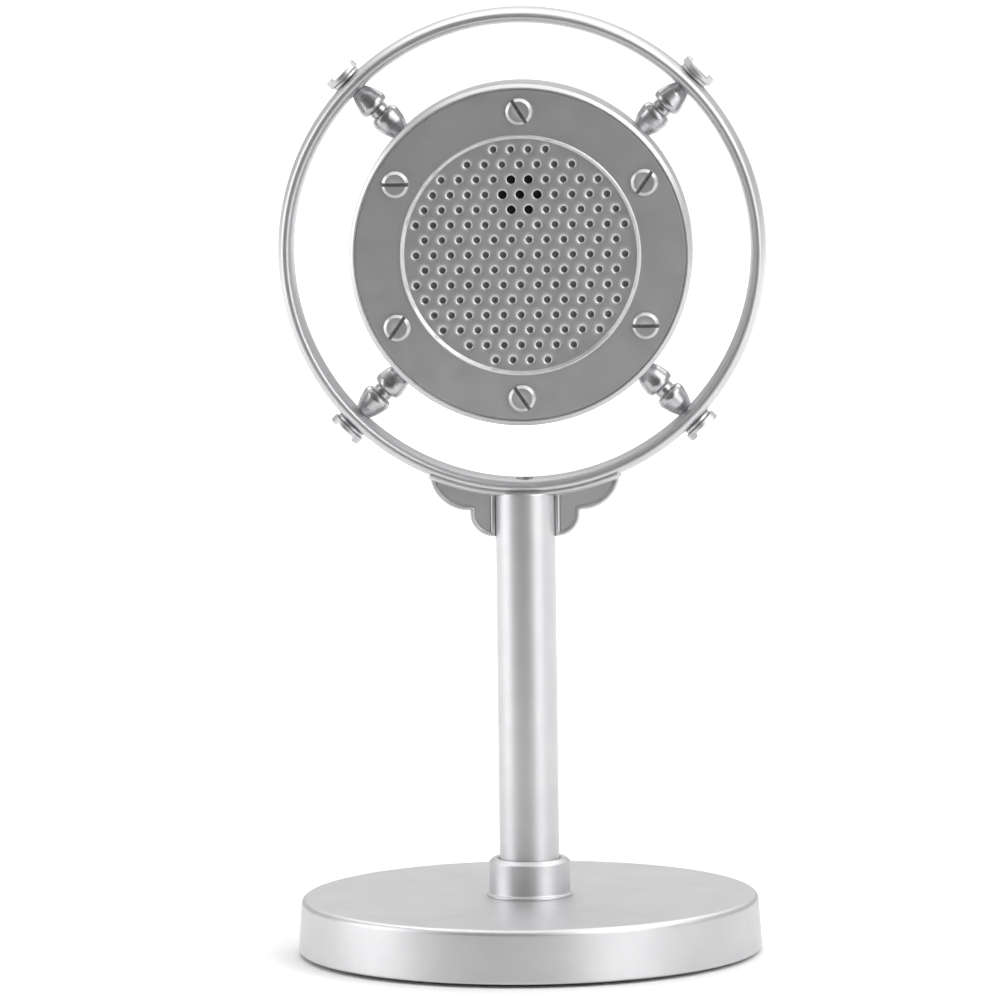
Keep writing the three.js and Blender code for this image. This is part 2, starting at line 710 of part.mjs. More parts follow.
function rearShell() {
  const cup = turnedY(
    [
      [0, SHELL_FLOOR],
      [HEAD_R - SHELL_WALL, SHELL_FLOOR],
      [HEAD_R - SHELL_WALL, BEZEL_BACK + GAP],
      [HEAD_R, BEZEL_BACK + GAP],
      [HEAD_R, SHELL_STRAIGHT_Y],
      [HEAD_R - SHELL_DRAFT, SHELL_BACK - SHELL_EDGE],
      [HEAD_R - SHELL_DRAFT - 0.3 * SHELL_EDGE, SHELL_BACK - 0.3 * SHELL_EDGE],
      [HEAD_R - SHELL_DRAFT - SHELL_EDGE, SHELL_BACK],
      [0, SHELL_BACK],
    ],
    BROAD,
  );
  const onFloor = SHELL_FLOOR + INTO;
  const screwPosts = facePlaces().map(({ x, z }) => rodY(3.2, -6.5, onFloor, x, z, TINY));
  const boardPosts = BOARD_PEGS.map(([x, z]) => rodY(2.8, BOARD.thick + GAP, onFloor, x, z, TINY));
  const threads = facePlaces().map(({ x, z }) => rodY(FACE_SCREW.thread, FACE_Y, 0, x, z, TINY));
  const pegHoles = BOARD_PEGS.map(([x, z]) => rodY(PEG_SCREW.thread, 0, 8, x, z, TINY));
  const studHoles = SPOKE_ANGLES.map((angle) =>
    rodZ(STUD_HOLE_R, STUD_LOW - 1, HEAD_R + 1, 0, 0, TINY).rotateY(radians(90 - angle)),
  );
  return worked(cup, [...screwPosts, ...boardPosts], [...threads, ...pegHoles, ...studHoles]);
}

const grilleRetainer = () =>
  turnedY(tube(RETAINER_IN_R, GRILLE_R, FELT_BACK + GAP, FELT_BACK + 1.1), MIDDLING);

const CAPSULE_BACK = -2.5;

const capsule = () => rodY(CAPSULE_R, FELT_BACK + 0.5, CAPSULE_BACK, 0, SOUND_Z, SMALL);

function capsuleBoot() {
  const inner = CAPSULE_R + GAP;
  const mouth = inner / 2;
  const outer = 1.5 * inner;
  return turnedY(
    [
      [inner, CAPSULE_BACK + GAP],
      [inner, FELT_BACK + GAP],
      [outer, FELT_BACK + GAP],
      [outer, -GAP],
      [mouth, -GAP],
      [mouth, CAPSULE_BACK + GAP],
    ],
    SMALL,
  ).translate(0, 0, SOUND_Z);
}

function circuitBoard() {
  const { half, low, high, thick } = BOARD;
  const drills = BOARD_PEGS.map(([x, z]) => rodY(PEG_SCREW.clear, -thick, 2 * thick, x, z, TINY));
  return worked(block([-half, half], [0, thick], [low, high]), [], drills);
}

function boardScrew() {
  const { shank, head, high, tip } = PEG_SCREW;
  return turnedY(
    [
      [0, -high - GAP],
      [head - 0.2, -high - GAP],
      [head, -GAP],
      [shank, -GAP],
      [shank, tip],
      [0, tip],
    ],
    TINY,
  );
}

// The pieces along one spoke lie on its Z axis, at their distance from the head's centre.
const SPOKE_LOW = HEAD_R + GAP;
const SPOKE_HIGH = RING_MID_R - RING_HALF - GAP;
const HOOP_OUT_R = RING_MID_R + RING_HALF;
const NUT_LOW = HOOP_OUT_R + GAP + WASHER_HIGH + 0.1;
const NUT_TOP = HOOP_OUT_R + NUT_HIGH;

function baluster() {
  const middle = (SPOKE_LOW + SPOKE_HIGH) / 2;
  const half = (SPOKE_HIGH - SPOKE_LOW) / 2;
  const lower = [
    [BALUSTER_END_R, -half],
    [BALUSTER_END_R + 0.35, -half + 2.2],
    [BALUSTER_BELLY_R - 0.35, -half + 4.4],
    [BALUSTER_BELLY_R, -half + 5.2],
    [BALUSTER_BELLY_R - 0.6, -half + 5.9],
    [BALUSTER_NECK_R, -0.3],
  ];
  const upper = lower.toReversed().map(([radius, height]) => [radius, -height]);
  const outline = [...lower, ...upper, [STUD_HOLE_R, half], [STUD_HOLE_R, -half]];
  return turnedZ(
    outline.map(([radius, height]) => [radius, middle + height]),
    FINE,
  );
}

// One stud is hollow, with a window into the hoop, for the lead.
function stud(hollow) {
  const rod = rodZ(STUD_R, STUD_LOW, HOOP_OUT_R + 1.7, 0, 0, TINY);
  if (!hollow) return rod;
  const inner = RING_MID_R - RING_HALF + RING_WALL;
  const boreTop = RING_MID_R + 0.9;
  const bore = rodZ(STUD_BORE, STUD_LOW - 1, boreTop, 0, 0, TINY);
  const window = block([0, 2 * STUD_R], [-STUD_BORE, STUD_BORE], [inner - 0.3, boreTop]);
  return worked(rod, [], [bore, window]);
}

function clampNut() {
  const capLow = NUT_TOP - 0.9;
  const nut = turnedZ(
    [
      [STUD_HOLE_R, capLow],
      [STUD_HOLE_R, NUT_LOW],
      [NUT_R - 0.2, NUT_LOW],
      [NUT_R, NUT_LOW + 0.2],
      [NUT_R, NUT_TOP - 0.3],
      [NUT_R - 0.3, NUT_TOP],
      [0, NUT_TOP],
      [0, capLow],
    ],
    SMALL,
  );
  const { half, deep } = NUT_SLOT;
  return worked(nut, [], [block([-half, half], [-NUT_R - 1, NUT_R + 1], [NUT_TOP - deep, NUT_TOP + 1])]);
}

const clampWasher = () =>
  turnedZ(tube(STUD_HOLE_R, NUT_R - 0.6, HOOP_OUT_R + GAP, HOOP_OUT_R + GAP + WASHER_HIGH), FINE);

const headNut = () => turnedZ(tube(STUD_HOLE_R, HEAD_NUT.r, HEAD_NUT.low, HEAD_NUT.high), 6);

function makeSpokes() {
  const spokes = new THREE.Group();
  SPOKE_ANGLES.forEach((angle, i) => {
    const spoke = new THREE.Group();
    spoke.rotation.y = radians(90 - angle);
    const n = i + 1;
    place(spoke, `baluster_${n}`, baluster(), POLISHED);
    place(spoke, `stud_${n}`, stud(i === WIRE_SPOKE), STEEL);
    place(spoke, `clamp_nut_${n}`, clampNut(), SATIN);
    place(spoke, `clamp_washer_${n}`, clampWasher(), SATIN);
    place(spoke, `head_nut_${n}`, headNut(), STEEL);
    spokes.add(spoke);
  });
  return spokes;
}

function makeHead() {
  const head = new THREE.Group();
  head.position.z = RING_Z;
  place(head, "front_bezel", frontBezel(), SATIN);
  place(head, "grille", grille(), SATIN);
  facePlaces().forEach(({ x, z, slot }, i) => {
    place(head, `face_screw_${i + 1}`, faceScrew(slot).translate(x, 0, z), SATIN);
  });
  place(head, "acoustic_felt", turnedY(disc(GRILLE_R - 0.4, GRILLE_BACK + GAP, FELT_BACK), MIDDLING), FELT);
  place(head, "grille_retainer", grilleRetainer(), STEEL);
  place(head, "capsule", capsule(), STEEL);
  place(head, "capsule_boot", capsuleBoot(), RUBBER);
  place(head, "circuit_board", circuitBoard(), SOLDER_MASK);
  BOARD_PEGS.forEach(([x, z], i) => {
    place(head, `board_screw_${i + 1}`, boardScrew().translate(x, 0, z), STEEL);
  });
  place(head, "rear_shell", rearShell(), SATIN);
  head.add(makeSpokes());
  return head;
}

const microphone = new THREE.Group();
microphone.name = "desktop_microphone";
microphone.add(makeBase(), makeStand(), makeHead());

export default microphone;
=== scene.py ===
"""The looks of a desktop microphone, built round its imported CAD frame.

Outlines are in millimetres and every Blender object is in metres, in the frame's own axes:
+Z up, front towards -Y.
"""

import json
import math

import bmesh
import bpy
from mathutils import Matrix, Vector

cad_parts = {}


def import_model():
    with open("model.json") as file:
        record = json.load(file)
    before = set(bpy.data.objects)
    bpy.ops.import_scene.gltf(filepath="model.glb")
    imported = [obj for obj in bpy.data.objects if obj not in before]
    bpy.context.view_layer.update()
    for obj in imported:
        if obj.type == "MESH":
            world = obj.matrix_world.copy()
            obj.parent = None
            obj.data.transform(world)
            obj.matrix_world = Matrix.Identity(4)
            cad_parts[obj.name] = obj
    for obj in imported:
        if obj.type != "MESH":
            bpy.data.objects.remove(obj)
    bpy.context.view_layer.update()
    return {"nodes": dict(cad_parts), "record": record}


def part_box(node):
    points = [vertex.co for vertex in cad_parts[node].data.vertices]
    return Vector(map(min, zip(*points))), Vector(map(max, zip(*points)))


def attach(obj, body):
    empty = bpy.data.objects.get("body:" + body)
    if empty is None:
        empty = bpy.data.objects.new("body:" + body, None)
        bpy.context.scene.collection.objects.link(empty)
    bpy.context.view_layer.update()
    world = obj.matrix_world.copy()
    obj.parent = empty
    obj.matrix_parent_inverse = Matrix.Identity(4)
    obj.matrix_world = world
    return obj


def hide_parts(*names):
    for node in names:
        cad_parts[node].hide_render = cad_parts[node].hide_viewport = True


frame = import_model()

MM = 0.001


# ---- Sizes, from the frame ----------------------------------------------------------------------
def corners(node):
    """A CAD node's lowest and highest corners in millimetres."""
    low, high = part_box(node)
    return low / MM, high / MM


shell_low, shell_high = corners("base_shell")
collar_low, collar_high = corners("collar")
pole_low, pole_high = corners("pole")
foot_low, foot_high = corners("foot_ring")
plate_low, plate_high = corners("bottom_plate")
hoop_low, hoop_high = corners("ring_hoop")
bracket_low, bracket_high = corners("saddle_bracket")
bezel_low, bezel_high = corners("front_bezel")
grille_low, grille_high = corners("grille")
casing_low, casing_high = corners("rear_shell")
screw_low, screw_high = corners("face_screw_2")
ring_screw_low, ring_screw_high = corners("ring_screw")
under_screw_low, under_screw_high = corners("bottom_screw_1")
socket_low, socket_high = corners("jack_socket")
jack_nut_low, jack_nut_high = corners("jack_nut")

BASE_R = shell_high.x
BASE_TOP_R = BASE_R - 0.9
BASE_TOP = shell_high.z
BASE_INNER_R = BASE_R - 3.6
BASE_ROOF = BASE_TOP - 3.0
FOOT_FLARE = 0.7  # how far the collar's foot stands out
COLLAR_R = collar_high.x - FOOT_FLARE
COLLAR_TOP = collar_high.z
COLLAR_BORE = 7.65
SPIGOT_R = 8.9
FOOT_INNER_R = 48.0
PLATE_SUNK = 0.35  # how far the middle of the bottom plate lies deeper than its border
PLATE_SUNK_R = 36.0
PLATE_HOLE_R = 1.8
DIAGONALS = [45, 135, 225, 315]  # directions of the base's bosses and of the balusters
BOSS_PITCH_R = 44.0
JACK_Z = (socket_low.z + socket_high.z) / 2
JACK_FLAT_Y = jack_nut_low.y - 0.3
JACK_FLAT_WIDTH = 14.0
JACK_FLAT_HEIGHT = 10.0
JACK_HOLE_R = 3.3
JACK_BARREL_R = 3.0
JACK_BARREL_Y = socket_low.y + 3  # where the barrel starts, inside the housing
JACK_BORE_R = 1.75
JACK_HOUSING_BACK = 53.0  # just inside the base's wall

POLE_R = pole_high.x
POLE_BORE = 6.3
POLE_CAP = 3.0  # thickness of the pole's closed top
POLE_LIP = 0.6  # how far the top stands up in front of the saddle band
HEAD_Z = (hoop_low.z + hoop_high.z) / 2
HOOP_R = hoop_high.x
HOOP_HALF = 2.0  # half the oval section across
HOOP_MID_R = HOOP_R - HOOP_HALF
HOOP_DEPTH = hoop_high.y - hoop_low.y
HOOP_POWER = 2.4  # superellipse power of the section
RING_SCREW_HEAD = 2.0
ACCESS_R = ring_screw_high.x + 0.2  # of the hole above the hoop's screw
BAND_THICK = 0.9
BAND_DEPTH = bracket_high.y - bracket_low.y
BAND_REACH = bracket_high.x
GUSSET_THICK = 3.0
OUTER_LOBE = Vector((14.2, 121.75))  # centres in X and Z
OUTER_LOBE_R = 9.75
INNER_LOBE = Vector((7.9, 111.35))
INNER_LOBE_R = 6.0

HEAD_R = bezel_high.x
LIP_PROUD = 0.55
FACE_Y = bezel_low.y + LIP_PROUD
BEZEL_BACK = FACE_Y + 4.0
LIP_IN_R = 29.0
LIP_OUT_R = 30.0
BEZEL_BORE_R = 31.3
GRILLE_R = grille_high.x
GRILLE_FACE = grille_low.y
GRILLE_BACK = grille_high.y
CASING_FRONT = casing_low.y
CASING_BACK = casing_high.y
CASING_STRAIGHT_Y = 2.5  # the casing narrows from here to its back
CASING_DRAFT = 1.3
CASING_WALL = 2.5
BACK_PANEL_R = 34.5
BACK_PANEL_SUNK = 0.5
DIMPLE_PITCH = 4.34
DIMPLE_R = 0.76
SOUND_HOLE_R = 1.12
FIELD_ROWS = [4, 7, 10, 11, 12, 13, 12, 13, 12, 13, 12, 11, 10, 7, 4]
SOUND_ROW = 4  # rows above the middle where the sound holes centre
FACE_SCREW_PITCH_R = 35.8
FACE_SLOTS = [55, -58, 0, 55, -56, 0]  # degrees that each slot is turned
STUD_BORE_R = 1.75
SPOKE_LOW = HEAD_R - 0.08
SPOKE_HIGH = HOOP_MID_R - HOOP_HALF + 0.02
NUT_LOW = HOOP_R + 0.9
NUT_TOP = HOOP_R + 2.9
NUT_R = 4.5
NUT_ROOF = 1.2
NUT_SLOT = 5.4
NUT_SLOT_DEPTH = 0.9

# ---- The photograph's view, in degrees and metres -----------------------------------------------
VIEW_AZIMUTH = 2.06
VIEW_ELEVATION = 6.68
VIEW_ROLL = -0.72
VIEW_DISTANCE = 2.5
VIEW_AIM = Vector((-0.00608, 0, 0.11422))
LENS = 357.98  # and the sensor's width, in millimetres
SENSOR = 36

# ---- The studio, in metres ----------------------------------------------------------------------
LIGHTS_AIM = Vector((0, 0, 0.12))
ROOM_FRONT = 0.14  # the room's glow in front of the microphone
ROOM_BACK = 0.56
FLOOR_FRONT = -0.32  # the pale floor ends this far in front, out of view
FLOOR_R = 5.0
FLOOR_WHITE = 0.88
FLOOR_GLOW = 0.5  # far from the microphone, where the lights don't reach
GLOW_START = 0.25  # the floor's glow rises between these distances
GLOW_FULL = 0.9


# ---- Mesh helpers -------------------------------------------------------------------------------
def rounded(points, steps=6, guard=0.12):
    """An outline whose corners (x, y, radius) become arcs, with a guard point just past each arc."""
    outline = []
    for i, point in enumerate(points):
        here = Vector(point[:2])
        radius = point[2] if len(point) > 2 else 0
        if not radius:
            outline.append(here)
            continue
        to_before = Vector(points[i - 1][:2]) - here
        to_after = Vector(points[(i + 1) % len(points)][:2]) - here
        room = min(to_before.length, to_after.length)
        to_before.normalize()
        to_after.normalize()
        half = to_before.angle(to_after) / 2
        reach = min(radius / math.tan(half), room * 0.48)
        radius = reach * math.tan(half)
        centre = here + (to_before + to_after).normalized() * radius / math.sin(half)
        start = here + to_before * reach - centre
        end = here + to_after * reach - centre
        first = math.atan2(start.y, start.x)
        turn = (math.atan2(end.y, end.x) - first + math.pi) % (2 * math.pi) - math.pi
        if room > 2 * (reach + guard):
            outline.append(here + to_before * (reach + guard))
        for step in range(steps + 1):
            angle = first + turn * step / steps
            outline.append(centre + radius * Vector((math.cos(angle), math.sin(angle))))
        if room > 2 * (reach + guard):
            outline.append(here + to_after * (reach + guard))
    return outline


def new_piece(name, made, place=None):
    """A named object from a finished bmesh, put at a place in the frame."""
    bmesh.ops.recalc_face_normals(made, faces=made.faces)
    mesh = bpy.data.meshes.new(name)
    made.to_mesh(mesh)
    made.free()
    piece = bpy.data.objects.new(name, mesh)
    bpy.context.scene.collection.objects.link(piece)
    if place is not None:
        piece.matrix_world = place
    return piece


def join_rings(made, low, high, wrap=True):
    """Faces between two rings of vertices, where a ring of one vertex is a point on the axis."""
    count = max(len(low), len(high))
    for i in range(count if wrap else count - 1):
        j = (i + 1) % count
        quad = [low[i % len(low)], low[j % len(low)], high[j % len(high)], high[i % len(high)]]
        distinct = list(dict.fromkeys(quad))
        if len(distinct) > 2:
            made.faces.new(distinct)


def lathe(name, outline, place=None, sides=96, flute=0.0, span=None):
    """A body turned round its local Z axis from (radius, height) points in millimetres."""
    made = bmesh.new()
    whole = span is None
    first, last = (0, 2 * math.pi) if whole else span
    turns = [first + (last - first) * i / sides for i in range(sides if whole else sides + 1)]
    rings = []
    for radius, height in outline:
        if radius < 1e-6:
            rings.append([made.verts.new((0, 0, height * MM))])
            continue
        ring = []
        for i, turn in enumerate(turns):
            reach = (radius - flute * (i % 2)) * MM
            ring.append(made.verts.new((reach * math.cos(turn), reach * math.sin(turn), height * MM)))
        rings.append(ring)
    for low, high in zip(rings, [*rings[1:], rings[0]]):
        if len(low) > 1 or len(high) > 1:
            join_rings(made, low, high, whole)
    if not whole:
        made.faces.new([ring[0] for ring in rings])
        made.faces.new([ring[-1] for ring in reversed(rings)])
    return new_piece(name, made, place)


def turned(name, outline, place=None, sides=96, steps=6):
    """A lathed body whose outline's points are (radius, height, corner radius)."""
    return lathe(name, rounded(outline, steps), place, sides)


def block(low, high, place=None):
    """A block between two corners in millimetres, to cut with unless it is given a name."""
    made = bmesh.new()
    bmesh.ops.create_cube(made, size=1)
    low, high = Vector(low) * MM, Vector(high) * MM
    for vertex in made.verts:
        vertex.co = Vector(a + (b - a) * (c + 0.5) for a, b, c in zip(low, high, vertex.co))
    return new_piece("cutter", made, place)


def rod(radius, low, high, place=None, sides=48):
    """A cutting rod along its local Z axis."""
    return lathe("cutter", [(0, low), (radius, low), (radius, high), (0, high)], place, sides)


def bake(piece):
    """Turns a piece's modifiers into its mesh."""
    bpy.context.view_layer.update()
    graph = bpy.context.evaluated_depsgraph_get()
    mesh = bpy.data.meshes.new_from_object(piece.evaluated_get(graph))
    piece.modifiers.clear()
    piece.data = mesh


def carve(piece, tools):
    """Cuts tools out of a piece and removes the tools."""
    for tool in tools:
        step = piece.modifiers.new("step", "BOOLEAN")
        step.operation = "DIFFERENCE"
        step.solver = "EXACT"
        step.object = tool
    bake(piece)
    for tool in tools:
        bpy.data.objects.remove(tool)


def soften(piece, width, limit=40, segments=2):
    """Rounds a piece's sharp edges by a width in millimetres."""
    edge = piece.modifiers.new("edge", "BEVEL")
    edge.width = width * MM
    edge.segments = segments
    edge.limit_method = "ANGLE"
    edge.angle_limit = math.radians(limit)
    bake(piece)


def up(x=0.0, y=0.0, z=0.0):
    """A place whose local Z axis points up."""
    return Matrix.Translation(Vector((x, y, z)) * MM)


def facing(x=0.0, z=HEAD_Z):
    """A place whose local Z axis points back along +Y, so that local heights are depths."""
    tipped = Matrix(((1, 0, 0, 0), (0, 0, 1, 0), (0, -1, 0, 0), (0, 0, 0, 1)))
    return up(x, 0, z) @ tipped


def spoke(angle):
    """A place at the head's centre whose local Z axis points out along a spoke."""
    return up(0, 0, HEAD_Z) @ Matrix.Rotation(math.radians(90 - angle), 4, "Y")


# ---- Material helpers ---------------------------------------------------------------------------
class Look:
    """A Principled material whose colour, roughness and relief come from procedural nodes."""

    def __init__(self, name, color, metallic, roughness):
        self.material = bpy.data.materials.new(name)
        self.material.use_nodes = True
        self.nodes = self.material.node_tree.nodes
        self.links = self.material.node_tree.links
        self.shader = self.nodes["Principled BSDF"]
        self.shader.inputs["Base Color"].default_value = (*color, 1)
        self.shader.inputs["Metallic"].default_value = metallic
        self.shader.inputs["Roughness"].default_value = roughness
        self.place = self.nodes.new("ShaderNodeTexCoord").outputs["Object"]

    def noise(self, size, detail=2.0, stretch=(1, 1, 1)):
        """Noise with features of a size in millimetres, stretched along local axes."""
        mapping = self.nodes.new("ShaderNodeMapping")
        mapping.inputs["Scale"].default_value = [1 / (size * MM * each) for each in stretch]
        self.links.new(self.place, mapping.inputs["Vector"])
        texture = self.nodes.new("ShaderNodeTexNoise")
        texture.inputs["Scale"].default_value = 1
        texture.inputs["Detail"].default_value = detail
        self.links.new(mapping.outputs["Vector"], texture.inputs["Vector"])
        return texture.outputs["Fac"]

    def weave(self, size):
        """A woven or fibrous cell pattern with cells of a size in millimetres."""
        texture = self.nodes.new("ShaderNodeTexVoronoi")
        texture.inputs["Scale"].default_value = 1 / (size * MM)
        self.links.new(self.place, texture.inputs["Vector"])
        return texture.outputs["Distance"]

    def spread(self, source, start, end, low, high):
        """A value's span from start to end, as one from low to high."""
        span = self.nodes.new("ShaderNodeMapRange")
        span.inputs["From Min"].default_value = start
        span.inputs["From Max"].default_value = end
        span.inputs["To Min"].default_value = low
        span.inputs["To Max"].default_value = high
        self.links.new(source, span.inputs["Value"])
        return span.outputs["Result"]

    def tint(self, source, dark, light):
        """Colour that goes from dark to light with a value."""
        ramp = self.nodes.new("ShaderNodeValToRGB")
        ramp.color_ramp.elements[0].position = 0.3
        ramp.color_ramp.elements[0].color = (*dark, 1)
        ramp.color_ramp.elements[1].position = 0.7
        ramp.color_ramp.elements[1].color = (*light, 1)
        self.links.new(source, ramp.inputs["Fac"])
        return ramp.outputs["Color"]

    def color(self, source):
        """The base colour, from a socket."""
        self.links.new(source, self.shader.inputs["Base Color"])

    def rough(self, source, low, high):
        """Roughness that goes from low to high with a value."""
        self.links.new(self.spread(source, 0.3, 0.7, low, high), self.shader.inputs["Roughness"])

    def glow(self, start, end, strength):
        """Light given off, from none at one distance from the origin to all at another, in metres."""
        far = self.nodes.new("ShaderNodeVectorMath")
        far.operation = "LENGTH"
        self.links.new(self.place, far.inputs[0])
        self.shader.inputs["Emission Color"].default_value = (1, 1, 1, 1)
        rise = self.spread(far.outputs["Value"], start, end, 0, strength)
        self.links.new(rise, self.shader.inputs["Emission Strength"])

    def relief(self, source, height):
        """Bumps of a height in millimetres."""
        bump = self.nodes.new("ShaderNodeBump")
        bump.inputs["Strength"].default_value = 1
        bump.inputs["Distance"].default_value = height * MM
        self.links.new(source, bump.inputs["Height"])
        previous = self.shader.inputs["Normal"]
        if previous.is_linked:
            self.links.new(previous.links[0].from_socket, bump.inputs["Normal"])
        self.links.new(bump.outputs["Normal"], previous)


def grey(value, warm=0.0):
    return (value + warm, value, value - warm)


# ---- Materials: one for each slot, and two for a part of a piece --------------------------------
def satin_silver():
    """Silver paint over metal, with a soft cloudiness and a trace of unevenness."""
    look = Look("satin_silver", grey(0.62), 0.92, 0.42)
    look.color(look.tint(look.noise(9, 3), (0.600, 0.602, 0.612), (0.640, 0.641, 0.650)))
    look.rough(look.noise(4, 3), 0.4, 0.44)
    look.relief(look.noise(1.2, 2), 0.002)
    return look.material


def polished_steel():
    """Turned steel: bright, with faint rings round each piece's own axis."""
    look = Look("polished_steel", grey(0.5), 1.0, 0.3)
    look.color(look.tint(look.noise(3, 2), (0.46, 0.46, 0.47), (0.54, 0.54, 0.55)))
    look.rough(look.noise(0.9, 2, (40, 40, 1)), 0.26, 0.31)
    look.relief(look.noise(0.9, 1, (200, 200, 1)), 0.003)
    return look.material


def hardware_steel():
    """Zinc-plated steel with faint blotches and rolling lines."""
    look = Look("hardware_steel", grey(0.5), 1.0, 0.35)
    look.color(look.tint(look.noise(2.5, 4), (0.44, 0.45, 0.47), (0.56, 0.57, 0.58)))
    look.rough(look.noise(0.8, 3, (6, 1, 1)), 0.28, 0.45)
    look.relief(look.noise(0.2, 2, (8, 1, 1)), 0.002)
    return look.material


def pit_painted_shade():
    """The silver in the pits and the screw slots, dulled, and painted darker as the shade in these
    recesses.
    """
    look = Look("pit_painted_shade", grey(0.28), 0.7, 0.5)
    look.color(look.tint(look.noise(0.8, 2), grey(0.23), grey(0.33)))
    look.rough(look.noise(0.3, 2), 0.42, 0.58)
    return look.material


def lip_painted_highlight():
    """The silver on the raised lip round the grille, painted brighter as a highlight."""
    look = Look("lip_painted_highlight", grey(0.86), 0.95, 0.36)
    look.color(look.tint(look.noise(4, 3), grey(0.83), grey(0.89)))
    look.rough(look.noise(1.5, 2), 0.32, 0.4)
    return look.material


def black_rubber():
    look = Look("black_rubber", grey(0.02), 0.0, 0.8)
    look.color(look.tint(look.noise(1.5, 3), grey(0.016), grey(0.028)))
    look.rough(look.noise(0.6, 2), 0.7, 0.88)
    look.relief(look.noise(0.25, 3), 0.01)
    return look.material


def lead_jacket():
    look = Look("lead_jacket", grey(0.03), 0.0, 0.5)
    look.color(look.tint(look.noise(1.0, 2), grey(0.024), grey(0.036)))
    look.rough(look.noise(0.5, 2), 0.42, 0.6)
    return look.material


def black_felt():
    look = Look("black_felt", grey(0.02), 0.0, 0.95)
    look.color(look.tint(look.weave(0.25), grey(0.012), grey(0.035)))
    look.rough(look.noise(0.3, 3), 0.9, 1.0)
    look.relief(look.weave(0.2), 0.08)
    look.shader.inputs["Sheen Weight"].default_value = 0.3
    return look.material


def black_plastic():
    look = Look("black_plastic", grey(0.025), 0.0, 0.45)
    look.color(look.tint(look.noise(1.2, 2), grey(0.02), grey(0.03)))
    look.rough(look.noise(0.3, 3), 0.38, 0.52)
    look.relief(look.noise(0.12, 2), 0.003)
    return look.material


def board_green():
    look = Look("board_green", (0.02, 0.11, 0.05), 0.0, 0.35)
    look.color(look.tint(look.noise(1.6, 1), (0.014, 0.085, 0.038), (0.026, 0.13, 0.06)))
    look.rough(look.noise(0.5, 2), 0.3, 0.45)
    return look.material


def plug_brass():
    look = Look("plug_brass", (0.72, 0.56, 0.3), 1.0, 0.3)
    look.color(look.tint(look.noise(2, 3), (0.66, 0.5, 0.26), (0.76, 0.6, 0.34)))
    look.rough(look.noise(0.4, 2, (30, 30, 1)), 0.22, 0.38)
    return look.material


def capsule_can():
    look = Look("capsule_can", grey(0.75), 1.0, 0.3)
    look.color(look.tint(look.noise(2, 2), grey(0.7), grey(0.78)))
    look.rough(look.noise(0.5, 2), 0.25, 0.4)
    return look.material


MAKERS = [
    satin_silver,
    polished_steel,
    hardware_steel,
    black_rubber,
    lead_jacket,
    black_felt,
    black_plastic,
    board_green,
    plug_brass,
    capsule_can,
]
MATERIALS = {maker.__name__: maker() for maker in MAKERS}
# painted shade for the grille's blind pits and the screw slots
PIT_SHADE = pit_painted_shade()
# a painted highlight for the raised lip round the grille
LIP_HIGHLIGHT = lip_painted_highlight()


def fit(piece, body, slot, *nodes, flats=False):
    """Gives a finished piece its material and shading, and ties it to the frame.

    flats keeps the flat faces of a cut or bevelled piece flat in the shading.
    """
    if not any(piece.data.materials):
        piece.data.materials.clear()
        piece.data.materials.append(MATERIALS[slot])
    piece.data.shade_smooth()
    piece.data.set_sharp_from_angle(angle=math.radians(35))
    if flats:
        weigh = piece.modifiers.new("flats", "WEIGHTED_NORMAL")
        weigh.keep_sharp = True
        bake(piece)
    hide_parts(*nodes)
    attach(piece, body)


# ---- Base ---------------------------------------------------------------------------------------
def base_shell():
    shell = turned(
        "base_shell_fine",
        [
            (BASE_R, shell_low.z, 0.5),
            (BASE_TOP_R, BASE_TOP, 1.5),
            (SPIGOT_R + 0.3, BASE_TOP, 0.2),
            (SPIGOT_R + 0.3, BASE_ROOF, 0.2),
            (BASE_INNER_R - 0.4, BASE_ROOF, 1.0),
            (BASE_INNER_R, shell_low.z, 0.3),
        ],
        sides=256,
        steps=8,
    )
    outside = BASE_R + 2
    flat = block(
        (-JACK_FLAT_WIDTH / 2, JACK_FLAT_Y, JACK_Z - JACK_FLAT_HEIGHT / 2),
        (JACK_FLAT_WIDTH / 2, outside, JACK_Z + JACK_FLAT_HEIGHT / 2),
    )
    hole = rod(JACK_HOLE_R, BASE_INNER_R - 5, outside, facing(0, JACK_Z))
    carve(shell, [flat, hole])
    fit(shell, "base", "satin_silver", "base_shell", flats=True)


def collar():
    piece = turned(
        "collar_fine",
        [
            (SPIGOT_R, collar_low.z, 0.2),
            (SPIGOT_R, BASE_TOP + 0.02),
            (COLLAR_R + FOOT_FLARE, BASE_TOP + 0.02, 0.1),
            (COLLAR_R + FOOT_FLARE, BASE_TOP + 0.6, 0.25),
            (COLLAR_R, BASE_TOP + 0.8, 0.5),
            (COLLAR_R, COLLAR_TOP - 0.95, 0.3),
            (COLLAR_R - 1.1, COLLAR_TOP, 0.3),
            (COLLAR_BORE, COLLAR_TOP, 0.8),
            (COLLAR_BORE, collar_low.z, 0.2),
        ],
        sides=128,
    )
    fit(piece, "base", "satin_silver", "collar")


def foot_ring():
    outline = [
        (foot_high.x, foot_low.z, 0.5),
        (foot_high.x, foot_high.z, 0.3),
        (FOOT_INNER_R, foot_high.z, 0.3),
        (FOOT_INNER_R, foot_low.z, 0.5),
    ]
    fit(turned("foot_ring_fine", outline, sides=192), "base", "black_rubber", "foot_ring")


def boss_places():
    """Places (x, y) of the bosses that the bottom screws go into."""
    turns = [math.radians(angle) for angle in DIAGONALS]
    return [(BOSS_PITCH_R * math.cos(turn), BOSS_PITCH_R * math.sin(turn)) for turn in turns]


